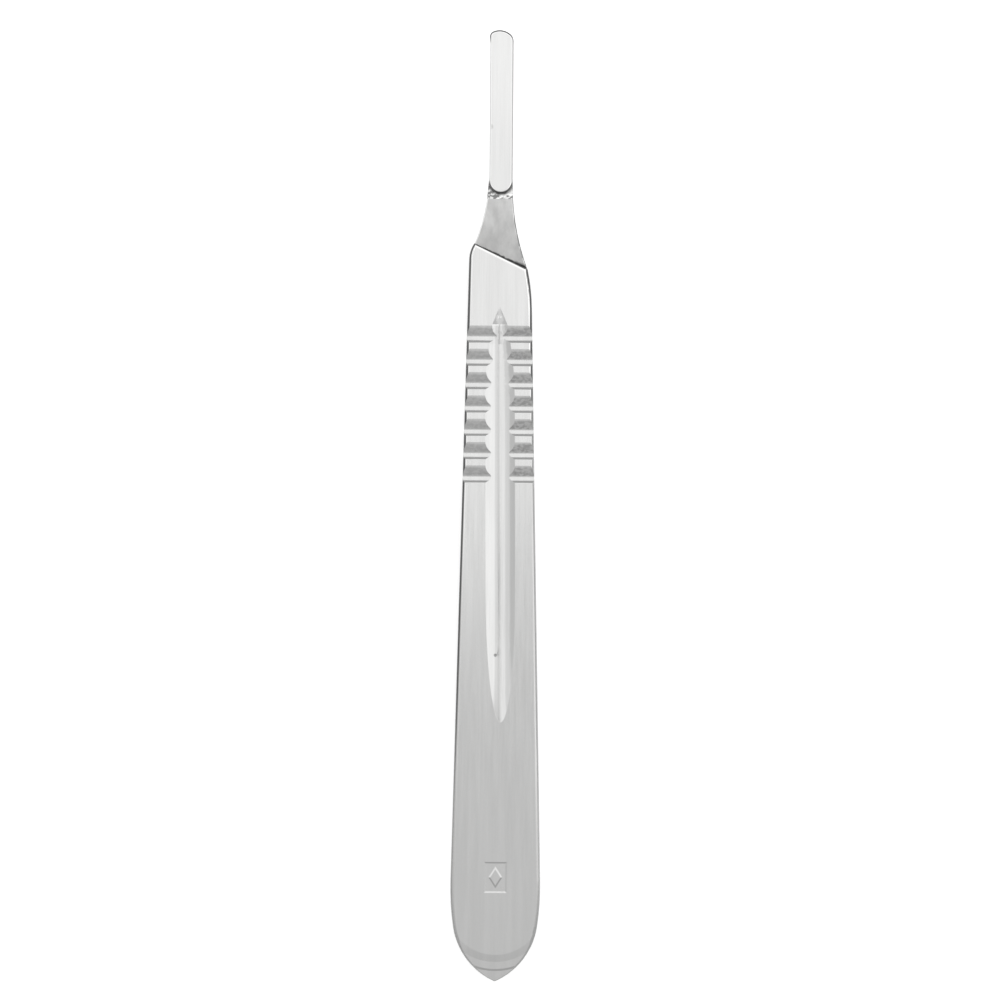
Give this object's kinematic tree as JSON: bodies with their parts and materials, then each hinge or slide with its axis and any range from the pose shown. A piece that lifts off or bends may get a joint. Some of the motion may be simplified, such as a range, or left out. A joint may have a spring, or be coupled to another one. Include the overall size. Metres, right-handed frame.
{
  "type": "scalpel handle",
  "caption": "Flat steel scalpel handle with a slotted blade fitting, slanted shoulder, notched finger grip, long hollow on each face and pointed butt.",
  "frame": {"origin": "centre of the bounding box at the height of the back face, which the handle lies on", "axes": "+Y along the handle towards the blade fitting, +X across it, +Z out of the front face that carries the fitting's lip"},
  "size_m": [0.0128, 0.135, 0.003],
  "materials": {
    "steel": "satin, brushed along the handle, with a matte shank"
  },
  "bodies": {
    "root": {"scalpel_handle": "steel"}
  },
  "joints": []
}
